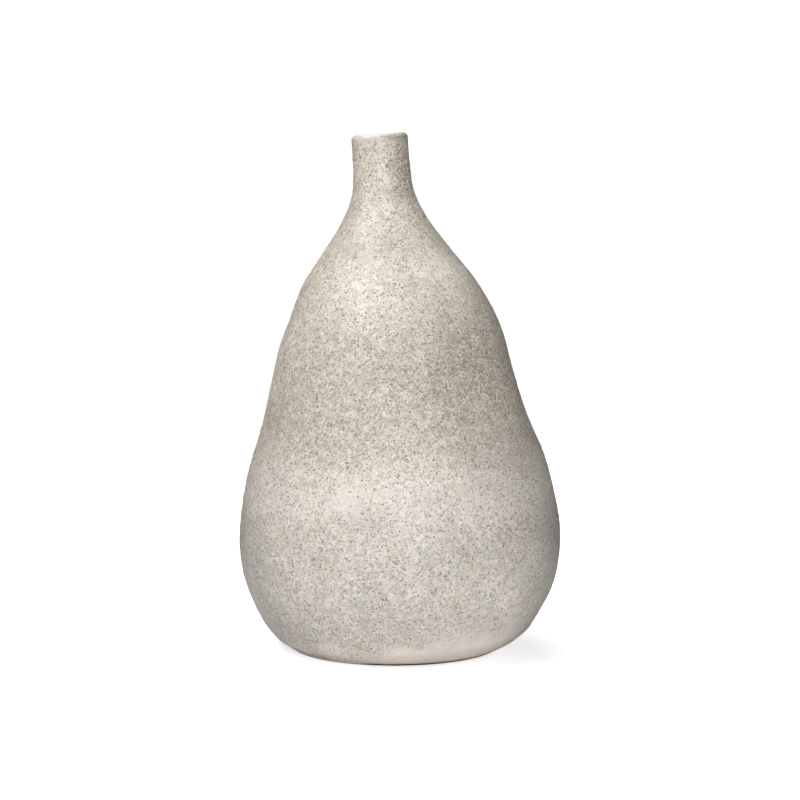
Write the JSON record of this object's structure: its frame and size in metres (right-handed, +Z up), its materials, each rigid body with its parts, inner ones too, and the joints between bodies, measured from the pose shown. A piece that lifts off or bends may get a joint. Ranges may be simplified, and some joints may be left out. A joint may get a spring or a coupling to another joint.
{
  "type": "stoneware pottery vase",
  "caption": "Pear-shaped stoneware bottle vase with a narrow neck, leaning slightly on a flat foot, in speckled cream glaze.",
  "frame": {"origin": "on the table plane, under the middle of the belly", "axes": "+Z up; the body's axis leans 2.7 degrees towards -X; -Y faces the viewer"},
  "size_m": [0.1904, 0.1904, 0.3043],
  "materials": {
    "raw_clay": "unglazed red-brown stoneware, matte, slightly gritty",
    "slip_clay": "fired slip in the joints, matte, darker than the clay",
    "speckled_glaze": "satin cream glaze with dense brown specks and soft grey-tan clouds",
    "pale_glaze": "satin pale cream glaze with few specks"
  },
  "bodies": {
    "root": {"base_slab": "raw_clay", "lower_wall": "raw_clay", "upper_wall": "raw_clay", "neck_collar": "raw_clay", "base_seam": "slip_clay", "waist_seam": "slip_clay", "neck_seam": "slip_clay", "outer_glaze": "speckled_glaze", "inner_glaze": "pale_glaze"}
  },
  "joints": []
}
